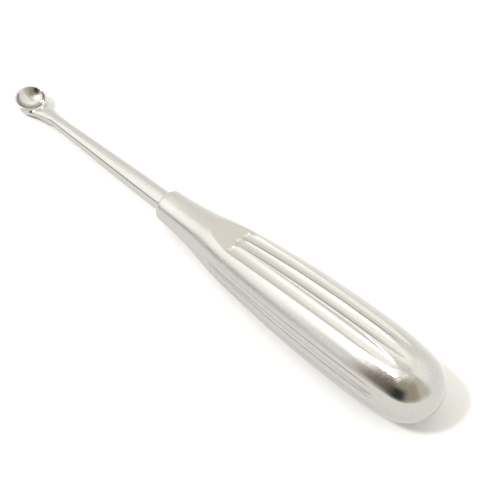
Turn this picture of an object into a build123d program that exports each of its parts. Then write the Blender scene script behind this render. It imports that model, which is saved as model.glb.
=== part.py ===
from build123d import *
from math import asin, cos, radians, sin, tan
import os

# Bone curette: an open cup on a tapered round shaft, set in a hollow fluted handle.
# Millimetres, +Z up. It lies as it rests on a table: cup to -X and open upwards,
# butt to +X, the underside of the cup and the belly of the handle on z = 0.
# All stations along the instrument are measured from the front lip of the cup.

# Overall
overall_length = 168.6
belly_station = 127.7       # where the handle touches the table
cup_axis_height = 2.02      # long axis above the table, at the middle of the cup
belly_axis_height = 10.034   # long axis above the table, at the belly

# Cup
cup_station = 5.0           # middle of the rim
cup_lift = 2.2              # middle of the rim above the shaft axis
cup_lean = 13.0             # the mouth leans back towards the handle, degrees
rim_radius = 5.05
bowl_depth = 4.2            # outside, below the plane of the rim
rim_land = 0.8              # width of the rim
hollow_depth = 3.45

# Neck between the shaft and the bowl: oval sections below the shaft axis
narrow_station, narrow_drop = 13.2, 0.15
narrow_half_width, narrow_half_height = 2.75, 1.95
broad_station, broad_drop = 8.2, 0.35
broad_half_width, broad_half_height = 4.35, 1.75

# Shaft and tang
waist_station = 17.6
waist_radius = 1.93
taper_station = 54.6
taper_radius = 2.93
shaft_radius = 3.1
shaft_full_station = 68.6
tang_end = 92.6

# Handle, outside radii at stations along its axis
mouth_station = 71.3
mouth_round = 0.9
mouth_radius = 4.87
neck_station, neck_radius = 73.7, 4.98
flare_station, flare_radius = 90.6, 6.94
shoulder_station, shoulder_radius = 101.6, 8.54
widest_radius = 10.7
dome_radius = 9.5          # where the round butt begins
dome_fall = 9.1             # slope of the outline there, degrees

# Top and bottom faces of the handle, flatter than its round corners
flat_height = 6.9           # thumb flat, from the handle axis
flat_start, flat_end = 86.0, 98.6
face_end_station, face_end_height = 139.6, 10.62
face_end_slope = 0.03

# Flutes
flute_step = 17.8           # degrees between neighbours, top and bottom groups
side_flute_step = 15.7      # degrees between neighbours, side groups
cutter_radius = 3.0
side_cutter_radius = 2.4

# Hollow
hollow_front = 4.6
front_wall_slant = 1.0
wall = 1.5

clearance = 2.0             # how far cutting shapes reach past the metal


# The round butt is part of a ball that ends on the long axis.
dome_ball = dome_radius / cos(radians(dome_fall))
dome_middle = overall_length - dome_ball
dome_station = overall_length - dome_ball * (1 - sin(radians(dome_fall)))
widest_station = dome_station - (widest_radius - dome_radius) / tan(radians(dome_fall / 2))

# The long axis rises from the cup to the butt by the angle at which the part rests.
lean = asin((belly_axis_height - cup_axis_height) / (belly_station - cup_station))
spine = Plane(
    origin=(
        -overall_length / 2 * cos(lean),
        0,
        cup_axis_height - cup_station * sin(lean),
    ),
    x_dir=(cos(lean), 0, sin(lean)),
    z_dir=(0, -1, 0),
)
long_axis = Axis(spine.origin, spine.x_dir)


def station_plane(station):
    """Plane square to the long axis."""
    return Plane(
        origin=spine.from_local_coords((station, 0, 0)),
        x_dir=(0, -1, 0),
        z_dir=spine.x_dir,
    )


def face_plane(angle):
    """Axial plane turned about the long axis: 0 is the top, 90 the side at -Y."""
    turn = radians(angle)
    across = spine.z_dir * cos(turn) - spine.y_dir * sin(turn)
    return Plane(origin=spine.origin, x_dir=spine.x_dir, z_dir=across)


# Cup and shaft: one forging, turned, hollowed and polished.
rim_plane = Plane(
    origin=spine.from_local_coords((cup_station, cup_lift, 0)),
    x_dir=(cos(lean - radians(cup_lean)), 0, sin(lean - radians(cup_lean))),
    z_dir=(-sin(lean - radians(cup_lean)), 0, cos(lean - radians(cup_lean))),
)
rim_section = Plane(origin=rim_plane.origin, x_dir=rim_plane.x_dir, z_dir=-rim_plane.y_dir)
rim_axis = Axis(rim_plane.origin, rim_plane.z_dir)
hollow_radius = rim_radius - rim_land


def cap_middle(reach, depth):
    """A point midway down the side of a round cap of this half width and depth."""
    ball = (reach**2 + depth**2) / (2 * depth)
    return (ball * sin(radians(45)), ball * (1 - cos(radians(45))) - depth)


with BuildPart() as cup_and_shaft:
    # Turned shaft with the tang that fills the neck of the handle
    with BuildSketch(spine):
        with BuildLine():
            taper = Line((waist_station, waist_radius), (taper_station, taper_radius))
            TangentArc(taper @ 1, (shaft_full_station, shaft_radius), tangent=taper % 1)
            Polyline(
                (shaft_full_station, shaft_radius),
                (tang_end, shaft_radius),
                (tang_end, 0),
                (waist_station, 0),
                (waist_station, waist_radius),
            )
        make_face()
    revolve(axis=long_axis)
    # Neck that widens from the shaft into the back of the bowl
    with BuildSketch(station_plane(waist_station)):
        Circle(waist_radius)
    with BuildSketch(station_plane(narrow_station)):
        with Locations((0, -narrow_drop)):
            Ellipse(narrow_half_width, narrow_half_height)
    with BuildSketch(station_plane(broad_station)):
        with Locations((0, -broad_drop)):
            Ellipse(broad_half_width, broad_half_height)
    loft()
    # Bowl, cut off by the plane of the rim
    with BuildSketch(rim_section):
        with BuildLine():
            ThreePointArc((rim_radius, 0), cap_middle(rim_radius, bowl_depth), (0, -bowl_depth))
            Polyline((0, -bowl_depth), (0, 0), (rim_radius, 0))
        make_face()
    revolve(axis=rim_axis)
    # Hollow of the cup
    with BuildSketch(rim_section):
        with BuildLine():
            ThreePointArc(
                (hollow_radius, 0), cap_middle(hollow_radius, hollow_depth), (0, -hollow_depth)
            )
            Polyline(
                (0, -hollow_depth),
                (0, clearance),
                (hollow_radius, clearance),
                (hollow_radius, 0),
            )
        make_face()
    revolve(axis=rim_axis, mode=Mode.SUBTRACT)
cup_and_shaft.part.label = "cup_and_shaft"


# Handle: a turned shell with flattened faces, ground thumb flats and fluted sides.
# Each flute floor is an arc through three points: front end, middle, and run-out.
middle_floor = ((101.6, 6.95), (125.6, 9.50), (162.4, 9.62))
flank_floor = ((101.9, 7.30), (125.6, 9.66), (162.4, 9.62))
side_floor = ((97.2, 7.62), (125.6, 9.88), (162.4, 9.66))

flutes = []
for face_angle in (0, 180):
    flutes.append((face_angle, middle_floor, cutter_radius))
    flutes.append((face_angle - flute_step, flank_floor, cutter_radius))
    flutes.append((face_angle + flute_step, flank_floor, cutter_radius))
for face_angle in (90, 270):
    for turn in (-side_flute_step, 0, side_flute_step):
        flutes.append((face_angle + turn, side_floor, side_cutter_radius))

with BuildPart() as handle_shell:
    # Outside, turned
    with BuildSketch(spine):
        with BuildLine():
            widest = (widest_station, widest_radius)
            barrel = TangentArc(widest, (shoulder_station, shoulder_radius), tangent=(-1, 0))
            shoulder = TangentArc(barrel @ 1, (flare_station, flare_radius), tangent=barrel % 1)
            neck = TangentArc(shoulder @ 1, (neck_station, neck_radius), tangent=shoulder % 1)
            collar = Line(neck @ 1, (mouth_station + mouth_round, mouth_radius))
            mouth = TangentArc(
                collar @ 1, (mouth_station, mouth_radius - mouth_round), tangent=(-1, 0)
            )
            Polyline(mouth @ 1, (mouth_station, 0), (overall_length, 0))
            rear = TangentArc(widest, (dome_station, dome_radius), tangent=(1, 0))
            TangentArc(rear @ 1, (overall_length, 0), tangent=rear % 1)
        make_face()
    revolve(axis=long_axis)
    # Top and bottom faces, with the thumb flat at the front of each
    for face_angle in (0, 180):
        with BuildSketch(face_plane(face_angle)):
            with BuildLine():
                flat = Line((flat_start, flat_height), (flat_end, flat_height))
                face = TangentArc(
                    (face_end_station, face_end_height), flat @ 1, tangent=(-1, -face_end_slope)
                )
                Polyline(
                    face @ 0,
                    (face_end_station, widest_radius + clearance),
                    (flat_start, widest_radius + clearance),
                    flat @ 0,
                )
            make_face()
        extrude(amount=widest_radius + clearance, both=True, mode=Mode.SUBTRACT)
    # Flutes, cut by a round tool that plunges at the front and runs out over the butt
    for angle, floor, tool_radius in flutes:
        with BuildLine(face_plane(angle)) as tool_path:
            ThreePointArc(*[(station, height + tool_radius) for station, height in floor])
        with BuildSketch(Plane(origin=tool_path.line @ 0, z_dir=tool_path.line % 0)):
            Circle(tool_radius)
        sweep(path=tool_path.line, mode=Mode.SUBTRACT)
        with Locations(tool_path.line @ 0):
            Sphere(tool_radius, mode=Mode.SUBTRACT)
    # Bore of the neck, filled by the tang, and the hollow behind it
    with BuildSketch(spine):
        with BuildLine():
            hollow_dome = TangentArc(
                (overall_length - wall, 0),
                (
                    dome_middle + (dome_ball - wall) * sin(radians(dome_fall)),
                    (dome_ball - wall) * cos(radians(dome_fall)),
                ),
                tangent=(0, 1),
            )
            hollow_rear = TangentArc(
                hollow_dome @ 1, (widest_station, widest_radius - wall), tangent=hollow_dome % 1
            )
            hollow_barrel = TangentArc(
                hollow_rear @ 1, (tang_end + front_wall_slant, hollow_front), tangent=(-1, 0)
            )
            Polyline(
                hollow_dome @ 0,
                (mouth_station - clearance, 0),
                (mouth_station - clearance, shaft_radius),
                (tang_end, shaft_radius),
                hollow_barrel @ 1,
            )
        make_face()
    revolve(axis=long_axis, mode=Mode.SUBTRACT)
handle_shell.part.label = "handle_shell"

os.makedirs("parts", exist_ok=True)
export_step(cup_and_shaft.part, "parts/cup_and_shaft.step")
export_step(handle_shell.part, "parts/handle_shell.step")
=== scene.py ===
import math

import bpy
import numpy as np
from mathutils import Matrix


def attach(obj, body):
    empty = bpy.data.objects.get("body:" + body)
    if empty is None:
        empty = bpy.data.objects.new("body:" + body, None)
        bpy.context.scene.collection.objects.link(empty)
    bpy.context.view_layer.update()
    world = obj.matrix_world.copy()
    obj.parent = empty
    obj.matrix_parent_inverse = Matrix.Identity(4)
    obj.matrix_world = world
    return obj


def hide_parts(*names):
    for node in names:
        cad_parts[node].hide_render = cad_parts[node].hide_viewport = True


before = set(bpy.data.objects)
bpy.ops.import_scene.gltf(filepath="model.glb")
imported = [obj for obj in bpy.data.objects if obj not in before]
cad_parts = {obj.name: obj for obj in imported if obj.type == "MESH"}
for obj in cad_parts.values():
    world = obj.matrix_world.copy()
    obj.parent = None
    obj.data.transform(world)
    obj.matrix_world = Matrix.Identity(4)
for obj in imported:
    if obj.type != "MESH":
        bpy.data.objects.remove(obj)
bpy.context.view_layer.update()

import openvdb
from mathutils import Vector

MM = 0.001

# Sizes that the solids have too, in millimetres, stations from the front lip of the cup
LENGTH = 168.6
BELLY_STATION, BELLY_HEIGHT = 127.7, 10.034
CUP_STATION, CUP_HEIGHT = 5.0, 2.02
CUP_LIFT = 2.2
CUP_LEAN = 13.0
RIM_RADIUS, BOWL_DEPTH = 5.05, 4.2
WAIST = (17.6, 1.93)
TAPER = (54.6, 2.93)
SHAFT = (68.6, 3.1)
MOUTH_STATION, MOUTH_ROUND, MOUTH_RADIUS = 71.3, 0.9, 4.87
NECK = (73.7, 4.98)
FLARE = (90.6, 6.94)
SHOULDER = (101.6, 8.54)
WIDEST_RADIUS, DOME_RADIUS, DOME_FALL = 10.7, 9.5, 9.1
FLAT_HEIGHT, FLAT_START, FLAT_END = 6.9, 86.0, 98.6
FACE_END, FACE_END_SLOPE = (139.6, 10.62), 0.03
FLUTE_STEP = 17.8

# Neck of the cup, slimmer than in the solids: station, drop, half width, half height
NARROW = (13.2, -0.15, 2.5, 1.95)
BROAD = (8.2, -0.35, 3.35, 1.75)
NECK_FRONT = 6.0
# Flat top of the neck: its height, where it starts to rise, over what length and how far
SHELF_HEIGHT = 1.0
SHELF_START, SHELF_LENGTH, SHELF_LIFT = 10.2, 3.0, 0.95
HOLLOW_REACH, HOLLOW_DEPTH = 4.5, 2.75
SKIN_END = 21.8     # where the skin of the cup end stops, just past the start of the turned shaft

# Flutes, most of them a little deeper than in the solids. Each floor is an arc through three
# points: front end, middle and run-out.
SIDE_FLUTE_STEP = 14.8
SIDE_RISE = math.radians(3.5)
CUTTER, SIDE_CUTTER = 2.15, 2.4
MIDDLE_FLOOR = ((100.9, 6.72), (125.6, 9.25), (162.4, 9.60))
FLANK_FLOOR = ((101.2, 7.03), (125.6, 9.42), (162.4, 9.62))
WIDE_FLOOR = ((101.9, 7.15), (125.6, 9.28), (162.4, 9.72))
SIDE_FLOOR = ((97.6, 7.84), (125.6, 9.80), (162.4, 9.60))

# Face: where it leaves the height of the thumb flat, and over what length
FACE_START, FACE_EASE = 100.4, 4.0

# How far the creases are rounded: at the flutes, at the thumb flat, what the face adds behind it,
# at the rim and at the edge of the cup's hollow
FLUTE_EDGE = 0.10
FLAT_EDGE, FACE_EDGE = 0.10, 0.45
RIM_EDGE, HOLLOW_EDGE = 0.2, 0.25

LEAN = math.asin((BELLY_HEIGHT - CUP_HEIGHT) / (BELLY_STATION - CUP_STATION))
AXIS = np.array([math.cos(LEAN), 0.0, math.sin(LEAN)])
RISE = np.array([-math.sin(LEAN), 0.0, math.cos(LEAN)])
ACROSS = np.array([0.0, -1.0, 0.0])
ORIGIN = np.array([-LENGTH / 2 * math.cos(LEAN), 0.0, CUP_HEIGHT - CUP_STATION * math.sin(LEAN)])


def to_row(station, height, side):
    """Row-frame points, in millimetres, of points given along, above and beside the long axis."""
    return (
        ORIGIN
        + np.multiply.outer(station, AXIS)
        + np.multiply.outer(height, RISE)
        + np.multiply.outer(side, ACROSS)
    )


# Outlines of the handle
def unit(v):
    """The same direction with length one."""
    v = np.asarray(v, float)
    return v / np.linalg.norm(v)


def smooth_step(x):
    """Eased share, 0 below x = 0 and 1 above x = 1."""
    x = np.clip(x, 0, 1)
    return x * x * (3 - 2 * x)


def arc_height(arc, station):
    """Height of the upper or lower branch of an arc over a station."""
    centre, radius, branch = arc
    under = np.maximum(radius**2 - (station - centre[0]) ** 2, 0.0)
    return centre[1] + branch * np.sqrt(under)


def through_three(a, b, c):
    """Centre and radius of the circle through three points."""
    (ax, ay), (bx, by), (cx, cy) = a, b, c
    d = 2 * (ax * (by - cy) + bx * (cy - ay) + cx * (ay - by))
    x = ((ax**2 + ay**2) * (by - cy) + (bx**2 + by**2) * (cy - ay) + (cx**2 + cy**2) * (ay - by)) / d
    y = ((ax**2 + ay**2) * (cx - bx) + (bx**2 + by**2) * (ax - cx) + (cx**2 + cy**2) * (bx - ax)) / d
    return x, y, math.hypot(ax - x, ay - y)


DOME_BALL = DOME_RADIUS / math.cos(math.radians(DOME_FALL))
DOME_MIDDLE = LENGTH - DOME_BALL
DOME_STATION = LENGTH - DOME_BALL * (1 - math.sin(math.radians(DOME_FALL)))
WIDEST_STATION = DOME_STATION - (WIDEST_RADIUS - DOME_RADIUS) / math.tan(math.radians(DOME_FALL / 2))


def chain(points, tangent):
    """Arcs that follow one another smoothly through the points, as (centre, radius, branch)."""
    arcs = []
    t = unit(tangent)
    for p, q in zip(points[:-1], points[1:]):
        n = np.array([-t[1], t[0]])
        chord = np.subtract(q, p)
        k = chord @ chord / (2 * (chord @ n))
        centre = np.asarray(p) + k * n
        arcs.append((centre, abs(k), 1.0 if p[1] > centre[1] else -1.0))
        turn = 2 * math.atan2(chord @ n, chord @ t)
        t = math.cos(turn) * t + math.sin(turn) * n
    return arcs, t


WIDEST = (WIDEST_STATION, WIDEST_RADIUS)
BUTT_BLEND = 2.2    # how far each way the outline is averaged where the round butt starts
FRONT_ARCS, _ = chain([WIDEST, SHOULDER, FLARE, NECK], (-1, 0))
REAR_ARCS, _ = chain([WIDEST, (DOME_STATION, DOME_RADIUS)], (1, 0))
FACE_ARCS, _ = chain([FACE_END, (FLAT_END, FLAT_HEIGHT)], (-1, -FACE_END_SLOPE))


def turned_outline(s):
    """Radius of the handle as the arcs give it, at each station."""
    out = arc_height((np.array([DOME_MIDDLE, 0.0]), DOME_BALL, 1.0), s)
    out = np.where(s < DOME_STATION, arc_height(REAR_ARCS[0], s), out)
    out = np.where(s < WIDEST_STATION, arc_height(FRONT_ARCS[0], s), out)
    out = np.where(s < SHOULDER[0], arc_height(FRONT_ARCS[1], s), out)
    out = np.where(s < FLARE[0], arc_height(FRONT_ARCS[2], s), out)
    line_start = MOUTH_STATION + MOUTH_ROUND
    share = (s - line_start) / (NECK[0] - line_start)
    return np.where(s < NECK[0], MOUTH_RADIUS + share * (NECK[1] - MOUTH_RADIUS), out)


def round_outline(s):
    """Radius of the handle, with the step in curvature at the start of the round butt polished out."""
    reach = BUTT_BLEND * np.clip((s - 150.0) / 6.0, 0, 1) * np.clip((167.4 - s) / 5.0, 0, 1)
    out = 3 * turned_outline(s)
    for share, weight in ((0.5, 2), (1.0, 1)):
        out = out + weight * (turned_outline(s - share * reach) + turned_outline(s + share * reach))
    return out / 9


def face_height(s):
    """Height of the flatter top face over each station."""
    arc = arc_height(FACE_ARCS[0], np.clip(s, FLAT_END, FACE_END[0]))
    out = FLAT_HEIGHT + (arc - FLAT_HEIGHT) * smooth_step((s - FACE_START) / FACE_EASE)
    return np.where((s < FLAT_START) | (s > FACE_END[0]), 1e3, out)


def smooth_min(a, b, k):
    """The smaller of two, with the crease between them rounded over k."""
    h = np.maximum(k - np.abs(a - b), 0.0) / k
    return np.minimum(a, b) - h * h * k / 4


def smooth_max(a, b, k):
    """The larger of two, with the crease between them rounded over k."""
    h = np.maximum(k - np.abs(a - b), 0.0) / k
    return np.maximum(a, b) + h * h * k / 4


def side_turn(theta):
    """Turns the side groups a little towards the top, as they are ground on the real handle."""
    sine = np.sin(theta)
    return theta + SIDE_RISE * np.sign(sine) * smooth_step((np.abs(sine) - 0.72) / 0.2)


WIDE_FLUTE = (20.4, WIDE_FLOOR, 2.6)     # the one nearest the camera
FLANK_FLUTE = (FLUTE_STEP, FLANK_FLOOR, CUTTER)
FACE_FLUTES = []
for face in (0.0, 180.0):
    FACE_FLUTES.append((face, MIDDLE_FLOOR, CUTTER))
    for turn in (-FLUTE_STEP, FLUTE_STEP):
        FACE_FLUTES.append((face + turn, FLANK_FLOOR, CUTTER))
FACE_FLUTES[2] = WIDE_FLUTE
SIDE_FLUTES = []
for face in (90.0, 270.0):
    for turn in (-SIDE_FLUTE_STEP, 0.0, SIDE_FLUTE_STEP):
        SIDE_FLUTES.append((face + turn, SIDE_FLOOR, SIDE_CUTTER))


def flute_radius(s, theta, angle, floor, cutter):
    """Distance from the long axis at which a ray enters the round cutter's sweep, or a large number."""
    cx, cy, rho = through_three(*[(p, q + cutter) for p, q in floor])
    start, stop = floor[0][0], floor[2][0]
    first = floor[0][1] + cutter
    delta = theta - math.radians(angle)
    delta = np.arctan2(np.sin(delta), np.cos(delta))
    co, si = np.cos(delta), np.sin(delta)

    def outside(r):
        u, v = r * co, r * si
        tube = np.hypot(np.hypot(s - cx, u - cy) - rho, v) - cutter
        ball = np.sqrt((s - start) ** 2 + (u - first) ** 2 + v**2) - cutter
        return np.where(s > start, tube, ball)

    middle = np.where(s > start, cy + np.sqrt(np.maximum(rho**2 - (s - cx) ** 2, 0)), first) * co
    low = np.maximum(middle - 1.2 * cutter, 0.1)
    high = middle.copy()
    hit = (outside(high) < 0) & (co > 0.5) & (s < stop + 0.001)
    for _ in range(34):
        mid = (low + high) / 2
        inside = outside(mid) < 0
        high = np.where(inside, mid, high)
        low = np.where(inside, low, mid)
    return np.where(hit, high, 1e3)


def edge_softness(s):
    """Crisp round the thumb flat, softer where the face runs into the round barrel."""
    rise = smooth_step((s - 102.0) / 8.0)
    fall = smooth_step((FACE_END[0] - s) / 16.0)
    return FLAT_EDGE + FACE_EDGE * rise * fall


def handle_radius(s, theta):
    """Distance from the long axis to the handle's surface."""
    r = round_outline(s)
    co = np.abs(np.cos(theta))
    face = np.where(co > 0.3, face_height(s) / np.maximum(co, 0.3), 1e3)
    r = smooth_min(r, face, edge_softness(s))
    for flute in FACE_FLUTES:
        r = smooth_min(r, flute_radius(s, theta, *flute), FLUTE_EDGE)
    turned = side_turn(theta)
    for flute in SIDE_FLUTES:
        r = smooth_min(r, flute_radius(s, turned, *flute), FLUTE_EDGE)
    return r


# Mesh helpers
def new_mesh(name, verts, faces, normals):
    """Adds a smooth-shaded piece to the scene, from points in row-frame millimetres."""
    mesh = bpy.data.meshes.new(name)
    mesh.from_pydata((verts * MM).tolist(), [], faces)
    mesh.validate()
    mesh.polygons.foreach_set("use_smooth", [True] * len(mesh.polygons))
    mesh.normals_split_custom_set_from_vertices(normals.tolist())
    mesh.update()
    obj = bpy.data.objects.new(name, mesh)
    bpy.context.scene.collection.objects.link(obj)
    return obj


def spread(start, stop, count):
    """Steps from start up to stop, closer together at both ends."""
    t = (1 - np.cos(np.linspace(0, math.pi, count, endpoint=False))) / 2
    t = 0.5 * t + 0.5 * np.linspace(0, 1, count, endpoint=False)
    return start + (stop - start) * t


def crossing(f, low, high):
    """Angle between low and high at which f changes sign, station by station."""
    for _ in range(40):
        mid = (low + high) / 2
        above = f(mid) > 0
        high = np.where(above, mid, high)
        low = np.where(above, low, mid)
    return (low + high) / 2


def quarter_angles(s, flank):
    """Angles from the top to one side, station by station, that follow the ridges between the flutes."""
    def everywhere(degrees):
        return np.full_like(s, math.radians(degrees))

    def hull(t):
        face = face_height(s) / np.maximum(np.cos(t), 0.3)
        return np.minimum(round_outline(s), face)

    def between_flutes(t):
        return flute_radius(s, t, *FACE_FLUTES[0]) - flute_radius(s, t, *flank)

    def past_flank(t):
        return flute_radius(s, t, *flank) - hull(t)

    def past_side(t):
        return flute_radius(s, math.pi / 2 - t, *SIDE_FLUTES[0]) - hull(math.pi / 2 - t)

    ridge_1 = crossing(between_flutes, everywhere(4), everywhere(14))
    edge_2 = crossing(past_flank, everywhere(flank[0]), everywhere(45))
    edge_3 = math.pi / 2 - crossing(past_side, everywhere(SIDE_FLUTE_STEP), everywhere(40))
    ridge_4 = everywhere(90 - SIDE_FLUTE_STEP / 2)

    def hold(values, first, last):
        """Keeps a ridge's angle before and after the stretch where the ridge exists."""
        start, stop = np.interp([first, last], s, values)
        return np.clip(np.where(s < first, start, np.where(s > last, stop, values)), 0, math.pi / 2)

    ridge_1 = hold(ridge_1, 104.0, 158.0)
    edge_2 = hold(edge_2, 103.5, 157.0)
    edge_3 = hold(edge_3, 99.0, 157.0)
    # Beside the thumb flat, from station 95 to 101, the second line follows the edge of the flat
    flat_edge = np.arccos(np.clip(FLAT_HEIGHT / round_outline(s), 0, 1))
    wide = np.clip((s - 93.5) / 1.5, 0, 1)
    back = np.clip((s - 101.0) / 2.4, 0, 1)
    front = (1 - wide) * edge_2 + wide * flat_edge
    rear = (1 - back) * flat_edge + back * edge_2
    edge_2 = np.where(s < 103.4, np.where(s < 95, front, rear), edge_2)
    keys = [np.zeros_like(s), ridge_1, edge_2, edge_3, ridge_4, np.full_like(s, math.pi / 2)]
    counts = (12, 14, 18, 9, 8)
    columns = []
    for lo, hi, n in zip(keys[:-1], keys[1:], counts):
        columns += [spread(lo[:, None], hi[:, None], n)]
    return np.concatenate(columns, axis=1)


def handle_grid():
    """Stations and, for each, the angles of the grid round the handle.

    Stations are closest together round the thumb flat and where the flutes run out.
    """
    stations = np.concatenate([
        np.linspace(MOUTH_STATION + MOUTH_ROUND, 88.0, 36, endpoint=False),
        np.linspace(88.0, 106.0, 120, endpoint=False),
        np.linspace(106.0, 157.0, 96, endpoint=False),
        np.linspace(157.0, 163.5, 54, endpoint=False),
        DOME_MIDDLE + DOME_BALL * np.sin(np.linspace(
            math.asin((163.5 - DOME_MIDDLE) / DOME_BALL), math.pi / 2, 40)),
    ])
    left = quarter_angles(stations, WIDE_FLUTE)
    right = quarter_angles(stations, FLANK_FLUTE)
    side = np.full((len(stations), 1), math.pi / 2)

    def mirrored(quarter):
        return np.concatenate([side, quarter[:, :0:-1]], axis=1)

    theta = np.concatenate([
        left,
        math.pi - mirrored(right),
        math.pi + right,
        2 * math.pi - mirrored(right),
    ], axis=1)
    target = theta.copy()
    for _ in range(4):
        theta = target - (side_turn(theta) - theta)
    return stations, theta


def surface_normals(s, theta):
    """Outward normals of the handle's surface, by differences over a short step."""
    step = 0.02
    r = handle_radius(s, theta)
    turn = step / np.maximum(r, 0.5)
    ds = (handle_radius(s + step, theta) - handle_radius(s - step, theta)) / (2 * step)
    dt = (handle_radius(s, theta + turn) - handle_radius(s, theta - turn)) / (2 * turn)
    out_h, out_y = np.cos(theta), np.sin(theta)
    n_s = -ds
    n_r = np.ones_like(r)
    n_t = -dt / np.maximum(r, 0.05)
    normal = (
        n_s[..., None] * AXIS
        + (n_r * out_h - n_t * out_y)[..., None] * RISE
        + (n_r * out_y + n_t * out_h)[..., None] * ACROSS
    )
    return r, normal / np.linalg.norm(normal, axis=-1, keepdims=True)


def make_handle():
    """The handle's outer skin, from just inside the bore to the end of the butt."""
    stations, theta = handle_grid()
    s = np.repeat(stations[:, None], theta.shape[1], axis=1)
    r, normal = surface_normals(s[:-1], theta[:-1])
    points = to_row(s[:-1], r * np.cos(theta[:-1]), r * np.sin(theta[:-1]))
    # Rounded mouth of the neck, from inside the bore outwards
    columns = theta.shape[1]
    rings, ring_normals = [], []
    bore = SHAFT[1]
    chamfer = 0.12
    profile = [
        (MOUTH_STATION + 2.0, bore, 0.0, -1.0),
        (MOUTH_STATION + chamfer, bore, 0.0, -1.0),
        (MOUTH_STATION, bore + chamfer, -1.0, 0.0),
    ]
    for turn in np.linspace(0, math.pi / 2, 9)[:-1]:
        profile.append((
            MOUTH_STATION + MOUTH_ROUND * (1 - math.cos(turn)),
            MOUTH_RADIUS - MOUTH_ROUND * (1 - math.sin(turn)),
            -math.cos(turn), math.sin(turn)))
    for station, radius, along, out in profile:
        t = theta[0]
        rings.append(to_row(np.full(columns, station), radius * np.cos(t), radius * np.sin(t)))
        ring_normals.append(
            along * AXIS + out * (np.cos(t)[:, None] * RISE + np.sin(t)[:, None] * ACROSS))
    verts = np.concatenate([np.array(rings), points]).reshape(-1, 3)
    normals = np.concatenate([np.array(ring_normals), normal]).reshape(-1, 3)
    tip = to_row(np.array(LENGTH), np.array(0.0), np.array(0.0))
    verts = np.vstack([verts, tip])
    normals = np.vstack([normals, AXIS])
    rows = len(profile) + len(points)
    i = np.arange(rows - 1)[:, None] * columns
    j = np.arange(columns)[None, :]
    k = (j + 1) % columns
    faces = np.stack([i + j, i + k, i + columns + k, i + columns + j], axis=-1).reshape(-1, 4)
    last = (rows - 1) * columns
    fan = [(last + a, last + (a + 1) % columns, len(verts) - 1) for a in range(columns)]
    return new_mesh("handle", verts, faces.tolist() + fan, normals)


# Cup and shaft
def lerp(x, a, b):
    """Value at a share x of the way from a to b."""
    return a + (b - a) * x


RIM_ORIGIN = np.array([CUP_STATION, CUP_LIFT])
RIM_ALONG = np.array([math.cos(math.radians(CUP_LEAN)), -math.sin(math.radians(CUP_LEAN))])
RIM_UP = np.array([math.sin(math.radians(CUP_LEAN)), math.cos(math.radians(CUP_LEAN))])


def shaft_outline(s):
    """Radius of the turned shaft at each station."""
    slope = (TAPER[1] - WAIST[1]) / (TAPER[0] - WAIST[0])
    out = WAIST[1] + slope * (s - WAIST[0])
    x = np.clip((s - TAPER[0]) / (SHAFT[0] - TAPER[0]), 0, 1)
    length = SHAFT[0] - TAPER[0]
    ease = TAPER[1] + slope * length * x + (SHAFT[1] - TAPER[1] - slope * length) * x * x
    return np.where(s > TAPER[0], np.where(s > SHAFT[0], SHAFT[1], ease), out)


def cup_field(s, h, y):
    """Signed distance, nearly, to the cup and its neck: negative inside the metal."""
    to_waist = smooth_step((s - NARROW[0]) / (WAIST[0] - NARROW[0]))
    to_narrow = np.clip((s - BROAD[0]) / (NARROW[0] - BROAD[0]), -1.2, 1)
    waist = (WAIST[0], 0.0, WAIST[1], WAIST[1])
    drop, wide, tall = [
        np.where(s > NARROW[0], lerp(to_waist, NARROW[i], waist[i]), lerp(to_narrow, BROAD[i], NARROW[i]))
        for i in (1, 2, 3)
    ]
    past = s > WAIST[0]
    wide = np.where(past, shaft_outline(s), wide)
    tall = np.where(past, shaft_outline(s), tall)
    oval = np.sqrt((y / wide) ** 2 + ((h - drop) / tall) ** 2 + 1e-9)
    neck = (oval - 1) * oval / np.sqrt((y / wide**2) ** 2 + ((h - drop) / tall**2) ** 2 + 1e-9)
    neck = smooth_max(neck, NECK_FRONT - s, 1.0)
    top = SHELF_HEIGHT + SHELF_LIFT * np.clip((s - SHELF_START) / SHELF_LENGTH, 0, 1) ** 0.8
    neck = smooth_max(neck, h - top, 0.5)
    along = (s - RIM_ORIGIN[0]) * RIM_ALONG[0] + (h - RIM_ORIGIN[1]) * RIM_ALONG[1]
    up = (s - RIM_ORIGIN[0]) * RIM_UP[0] + (h - RIM_ORIGIN[1]) * RIM_UP[1]
    ball = (RIM_RADIUS**2 + BOWL_DEPTH**2) / (2 * BOWL_DEPTH)
    bowl = np.sqrt(along**2 + y**2 + (up + BOWL_DEPTH - ball) ** 2) - ball
    bowl = smooth_max(bowl, up, RIM_EDGE)
    # Neck and bowl meet crisply at the rim and more softly underneath
    under = np.clip((-0.4 - up) / 1.6, 0, 1)
    body = smooth_min(neck, bowl, 0.35 + 2.6 * under)
    body = smooth_max(body, -CUP_HEIGHT - h, 0.5)
    hollow_ball = (HOLLOW_REACH**2 + HOLLOW_DEPTH**2) / (2 * HOLLOW_DEPTH)
    hollow = np.sqrt(along**2 + y**2 + (up + HOLLOW_DEPTH - hollow_ball) ** 2) - hollow_ball
    return smooth_max(body, -hollow, HOLLOW_EDGE)


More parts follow.
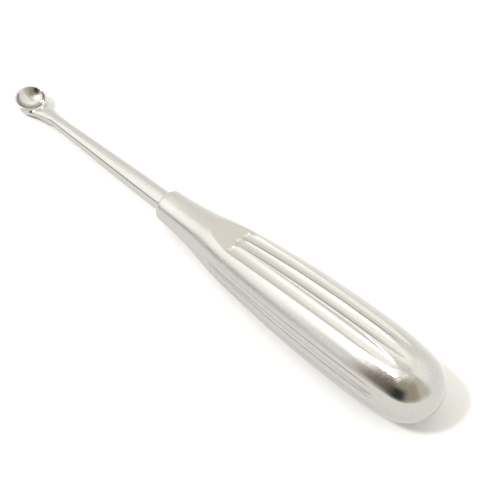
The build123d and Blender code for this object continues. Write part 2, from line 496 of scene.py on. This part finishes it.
def make_cup():
    """The cup end as one smooth closed skin, with the turned shaft behind it."""
    voxel = 0.1
    low = np.array([-0.6, -3.6, -5.6])
    high = np.array([22.0, 4.6, 5.6])
    count = np.ceil((high - low) / voxel).astype(int)
    axes = [low[i] + voxel * np.arange(count[i]) for i in range(3)]
    s, h, y = np.meshgrid(*axes, indexing="ij")
    field = cup_field(s, h, y).astype(np.float32)
    field = np.maximum(field, (s - SKIN_END).astype(np.float32))
    grid = openvdb.FloatGrid(3.0)
    grid.copyFromArray(field)
    points, tris, quads = grid.convertToPolygons(isovalue=0.0, adaptivity=0.0)
    points = low + voxel * np.asarray(points, float)

    def value(p):
        return cup_field(p[:, 0], p[:, 1], p[:, 2])

    def slope(p):
        out = np.zeros_like(p)
        for i in range(3):
            d = np.zeros(3)
            d[i] = 0.01
            out[:, i] = (value(p + d) - value(p - d)) / 0.02
        return out

    end = points[:, 0] > SKIN_END - 0.1
    for _ in range(3):
        g = slope(points)
        step = value(points)[:, None] * g / np.maximum((g**2).sum(1, keepdims=True), 1e-6)
        points = np.where(end[:, None], points, points - step)
    g = slope(points)
    g /= np.linalg.norm(g, axis=1, keepdims=True)
    g[end & (np.hypot(points[:, 1], points[:, 2]) < 1.9)] = (1, 0, 0)
    rows = to_row(points[:, 0], points[:, 1], points[:, 2])
    normals = g[:, :1] * AXIS + g[:, 1:2] * RISE + g[:, 2:] * ACROSS
    faces = [tuple(q) for q in np.asarray(quads, int).tolist()] + [
        tuple(q) for q in np.asarray(tris, int).tolist()]
    # Shaft, turned
    columns = 96
    theta = np.linspace(0, 2 * math.pi, columns, endpoint=False)
    stations = np.concatenate([np.linspace(SKIN_END - 0.2, SHAFT[0], 90), [MOUTH_STATION + 1.5]])
    radius = shaft_outline(stations)
    step = 0.01
    fall = (shaft_outline(stations + step) - shaft_outline(stations - step)) / (2 * step)
    s2 = np.repeat(stations[:, None], columns, 1)
    t2 = np.repeat(theta[None, :], len(stations), 0)
    skin = to_row(s2, radius[:, None] * np.cos(t2), radius[:, None] * np.sin(t2)).reshape(-1, 3)
    out = np.cos(t2)[..., None] * RISE + np.sin(t2)[..., None] * ACROSS - fall[:, None, None] * AXIS
    out = out.reshape(-1, 3)
    out /= np.linalg.norm(out, axis=1, keepdims=True)
    base = len(rows)
    i = np.arange(len(stations) - 1)[:, None] * columns
    j = np.arange(columns)[None, :]
    k = (j + 1) % columns
    shaft_faces = base + np.stack([i + j, i + k, i + columns + k, i + columns + j], -1).reshape(-1, 4)
    ends = [
        tuple(base + np.arange(columns)[::-1]),
        tuple(base + (len(stations) - 1) * columns + np.arange(columns)),
    ]
    verts = np.vstack([rows, skin])
    faces = faces + shaft_faces.tolist() + [tuple(int(v) for v in e) for e in ends]
    return new_mesh("cup_end_and_shaft", verts, faces, np.vstack([normals, out]))


# Materials
class Nodes:
    """Short hand for building a node tree from empty."""

    def __init__(self, tree):
        self.tree = tree
        tree.nodes.clear()

    def add(self, kind, links=None, **values):
        """A new node with these settings; each socket is linked to a source or set to a value."""
        node = self.tree.nodes.new(kind)
        for key, value in values.items():
            setattr(node, key, value)
        for socket, source in (links or {}).items():
            if isinstance(source, bpy.types.NodeSocket):
                self.tree.links.new(source, node.inputs[socket])
            else:
                node.inputs[socket].default_value = source
        return node

    def math(self, operation, a, b=0.0):
        """Result of arithmetic on two values."""
        return self.add("ShaderNodeMath", {0: a, 1: b}, operation=operation).outputs[0]

    def ramp(self, source, low, high, to_low, to_high):
        """Eased change from to_low to to_high while the source goes from low to high."""
        links = {"Value": source, "From Min": low, "From Max": high, "To Min": to_low, "To Max": to_high}
        return self.add("ShaderNodeMapRange", links, interpolation_type="SMOOTHSTEP").outputs[0]


def new_material(name):
    """A material with an empty node tree, and the helper that fills it."""
    material = bpy.data.materials.new(name)
    material.use_nodes = True
    return material, Nodes(material.node_tree)


def along_axis(nodes):
    """Texture coordinates laid along the long axis: station, height, side, in metres."""
    place = nodes.add("ShaderNodeTexCoord").outputs["Object"]
    turned = nodes.add(
        "ShaderNodeVectorRotate", {"Vector": place, "Axis": (0, 1, 0), "Angle": LEAN},
        rotation_type="AXIS_ANGLE")
    return turned.outputs[0]


def stretched_noise(nodes, where, scale, detail):
    """Noise with its own scale, per metre, along, above and across the long axis."""
    place = nodes.add("ShaderNodeVectorMath", {0: where, 1: scale}, operation="MULTIPLY").outputs[0]
    return nodes.add("ShaderNodeTexNoise", {"Vector": place, "Scale": 1.0, "Detail": detail}).outputs[0]


def steel(name, satin, tint):
    """Stainless steel: satin from 0, mirror polished, to 1, brushed all over."""
    material, n = new_material(name)
    where = along_axis(n)
    split = n.add("ShaderNodeSeparateXYZ", {0: where}).outputs
    station = n.math("SUBTRACT", n.math("MULTIPLY", split["X"], 1 / MM), float(ORIGIN @ AXIS))
    level = n.math("SUBTRACT", n.math("MULTIPLY", split["Z"], 1 / MM), float(ORIGIN @ RISE))
    level = n.math("ABSOLUTE", level)
    # Fine grain, drawn out round the handle by the polishing wheel
    grain = stretched_noise(n, where, (9000.0, 1400.0, 1400.0), 3.0)
    fine = stretched_noise(n, where, (2600.0, 2600.0, 2600.0), 2.0)
    cloud = n.add("ShaderNodeTexNoise", {"Vector": where, "Scale": 90.0, "Detail": 2.0}).outputs[0]
    # Masks: 1 away from the mirror-bright butt, 1 on the ground thumb flats, 1 in the cup
    matt = n.ramp(station, 119.5, 159.5, 1.0, 0.0)
    on_flat = n.ramp(level, FLAT_HEIGHT - 0.14, FLAT_HEIGHT - 0.05, 0.0, 1.0)
    ground = n.math("MULTIPLY", on_flat, n.ramp(station, FLAT_END + 2.5, FLAT_END + 4.1, satin, 0.0))
    in_cup = n.ramp(station, 9.0, 11.5, 1.0, 0.0)
    rough = n.math("ADD", n.math("MULTIPLY", matt, satin * 0.19), 0.06)
    rough = n.math("MAXIMUM", rough, n.math("MULTIPLY", ground, 0.5))
    rough = n.math("ADD", rough, n.ramp(cloud, 0.35, 0.65, -0.02, 0.025))
    relief = n.math("ADD", n.math("MULTIPLY", grain, 0.6), n.math("MULTIPLY", fine, 0.4))
    strength = n.math("ADD", n.math("MULTIPLY", matt, 0.26 * satin), 0.5)
    strength = n.math("ADD", strength, n.math("MULTIPLY", in_cup, 0.4))
    bump = n.add("ShaderNodeBump", {"Height": relief, "Strength": strength, "Distance": 0.00004})
    color = n.add("ShaderNodeMix", {"Factor": n.ramp(fine, 0.3, 0.7, 0.0, 1.0)}, data_type="RGBA")
    color.inputs["A"].default_value = (*[c * 0.92 for c in tint], 1)
    color.inputs["B"].default_value = (*tint, 1)
    dull = n.add("ShaderNodeMix", {"Factor": ground, 6: color.outputs["Result"]}, data_type="RGBA")
    dull.inputs["B"].default_value = (*[c * f for c, f in zip(tint, (0.89, 0.86, 0.83))], 1)
    shader = n.add("ShaderNodeBsdfPrincipled", {
        "Base Color": dull.outputs["Result"],
        "Metallic": 1.0,
        "Roughness": rough,
        "Normal": bump.outputs[0],
    })
    n.add("ShaderNodeOutputMaterial", {"Surface": shader.outputs[0]})
    return material


def floor_material():
    """Plain pale paper, a little uneven."""
    material, n = new_material("paper_floor")
    place = n.add("ShaderNodeTexCoord").outputs["Object"]
    noise = n.add("ShaderNodeTexNoise", {"Vector": place, "Scale": 220.0, "Detail": 4.0})
    color = n.add("ShaderNodeMix", {"Factor": noise.outputs[0]}, data_type="RGBA")
    color.inputs["A"].default_value = (0.725, 0.725, 0.73, 1)
    color.inputs["B"].default_value = (0.755, 0.755, 0.76, 1)
    shader = n.add("ShaderNodeBsdfPrincipled", {"Base Color": color.outputs["Result"], "Roughness": 0.9})
    shader.inputs["Specular IOR Level"].default_value = 0.1
    n.add("ShaderNodeOutputMaterial", {"Surface": shader.outputs[0]})
    return material


handle = make_handle()
cup = make_cup()
handle.data.materials.append(steel("satin_steel", 1.0, (0.485, 0.478, 0.46)))
cup.data.materials.append(steel("polished_steel", 0.22, (0.49, 0.484, 0.47)))
for piece, node, slot in (
    (handle, "handle_shell", "satin_steel"),
    (cup, "cup_and_shaft", "polished_steel"),
):
    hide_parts(node)
    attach(piece, "root")


# Floor, light and camera
def panel(name, corners, material):
    """Adds a flat stage piece through these corners, in metres."""
    mesh = bpy.data.meshes.new(name)
    mesh.from_pydata(corners, [], [tuple(range(len(corners)))])
    obj = bpy.data.objects.new(name, mesh)
    obj.data.materials.append(material)
    bpy.context.scene.collection.objects.link(obj)
    return obj


HALF = 1.2      # half the side of the floor, metres
corners = [(-HALF, -HALF, 0), (HALF, -HALF, 0), (HALF, HALF, 0), (-HALF, HALF, 0)]
panel("floor", corners, floor_material())

world = bpy.data.worlds.new("studio")
bpy.context.scene.world = world
world.use_nodes = True
sky = Nodes(world.node_tree)
calc, smooth = sky.math, sky.ramp
direction = sky.add("ShaderNodeTexCoord").outputs["Generated"]


def tinted(under, tint, share):
    """The light under, changed towards a tint by a share between 0 and 1."""
    node = sky.add("ShaderNodeMix", {"Factor": share}, data_type="RGBA")
    for socket, source in (("A", under), ("B", tint)):
        if isinstance(source, bpy.types.NodeSocket):
            sky.tree.links.new(source, node.inputs[socket])
        else:
            node.inputs[socket].default_value = (*source, 1.0)
    return node.outputs["Result"]


# Bearing round the object, 0 towards -Y and 90 towards +X, and height above the table, in degrees
parts = sky.add("ShaderNodeSeparateXYZ", {0: direction}).outputs
bearing = calc("MULTIPLY", calc("ARCTAN2", parts["X"], calc("MULTIPLY", parts["Y"], -1.0)), 180 / math.pi)
height = calc("MULTIPLY", calc("ARCSINE", parts["Z"]), 180 / math.pi)


def window(left, right, low, high, soft_across, soft_up):
    """Share of a soft-edged window that spans these bearings and heights."""
    across = calc("MULTIPLY", smooth(bearing, left - soft_across, left + soft_across, 0.0, 1.0),
                  smooth(bearing, right - soft_across, right + soft_across, 1.0, 0.0))
    up = calc("MULTIPLY", smooth(height, low - soft_up, low + soft_up, 0.0, 1.0),
              smooth(height, high - soft_up, high + soft_up, 1.0, 0.0))
    return calc("MULTIPLY", across, up)


light = tinted((1.38, 1.38, 1.34), (1.62, 1.60, 1.50), smooth(height, 16, 50, 0.0, 1.0))
light = tinted(light, (1.33, 1.31, 1.24), window(-175, -74, -5, 42, 12, 6))
light = tinted(light, (1.85, 1.82, 1.69), window(-165, -74, 46, 78, 8, 6))
light = tinted(light, (1.22, 1.20, 1.13), smooth(height, 70, 84, 0.0, 1.0))
# Bright side of the room
light = tinted(light, (1.95, 1.93, 1.85), window(-80, -37, 9, 68, 4, 5))
light = tinted(light, (2.5, 2.5, 2.45), window(-38, -16, 31, 74, 4, 5))
# Dark side: the room behind the camera, and who stands there
light = tinted(light, (0.95, 0.90, 0.76), window(-8, 108, 4, 74, 12, 12))
light = tinted(light, (0.60, 0.54, 0.41), window(-10, 74, 2, 60, 11, 12))
light = tinted(light, (0.50, 0.39, 0.35), window(-18, -2, 8, 56, 4, 7))
light = tinted(light, (0.06, 0.07, 0.065), window(-6, 33, 1, 36, 14, 10))
# A strip of light that rises behind the camera
strip_line = calc("ADD", calc("MULTIPLY", parts["Y"], 0.225), 0.13)
strip_off = calc("ABSOLUTE", calc("SUBTRACT", parts["X"], strip_line))
strip = calc("MULTIPLY", smooth(strip_off, 0.02, 0.05, 1.0, 0.0), window(-60, 60, 47, 80, 20, 3))
light = tinted(light, (2.2, 2.2, 2.15), strip)
# Low dark edge across the bright side
light = tinted(light, (1.05, 1.04, 1.00), window(-60, -12, 0.5, 7, 8, 1.5))
light = tinted(light, (0.03, 0.03, 0.03), window(-80, -34.5, 0.5, 7.5, 1.5, 0.8))
background = sky.add("ShaderNodeBackground", {"Color": light, "Strength": 1.0})
sky.add("ShaderNodeOutputWorld", {"Surface": background.outputs[0]})

# Key light, a soft sun that gives the soft-edged shadow past the butt
key_data = bpy.data.lights.new("key", "SUN")
key_data.energy = 2.2
key_data.angle = math.radians(9)
key = bpy.data.objects.new("key", key_data)
key.rotation_mode = "QUATERNION"
key.rotation_quaternion = Vector((0.227, 0.511, -0.829)).to_track_quat("-Z", "Y")
bpy.context.scene.collection.objects.link(key)

# Camera, at the photo's angle; eye and aim in row-frame millimetres
EYE = np.array([141.043, -116.171, 217.115])
LOOK = np.array([11.487, 8.845, 0.0])
camera_data = bpy.data.cameras.new("camera")
camera_data.lens = 72.0
camera_data.sensor_width = 36.0
camera = bpy.data.objects.new("camera", camera_data)
camera.location = Vector(EYE * MM)
camera.rotation_mode = "QUATERNION"
camera.rotation_quaternion = Vector(LOOK - EYE).to_track_quat("-Z", "Y")
camera_data.clip_start = 0.01
camera_data.clip_end = 10.0
bpy.context.scene.collection.objects.link(camera)
bpy.context.scene.camera = camera

view_settings = bpy.context.scene.view_settings
view_settings.view_transform = "Standard"
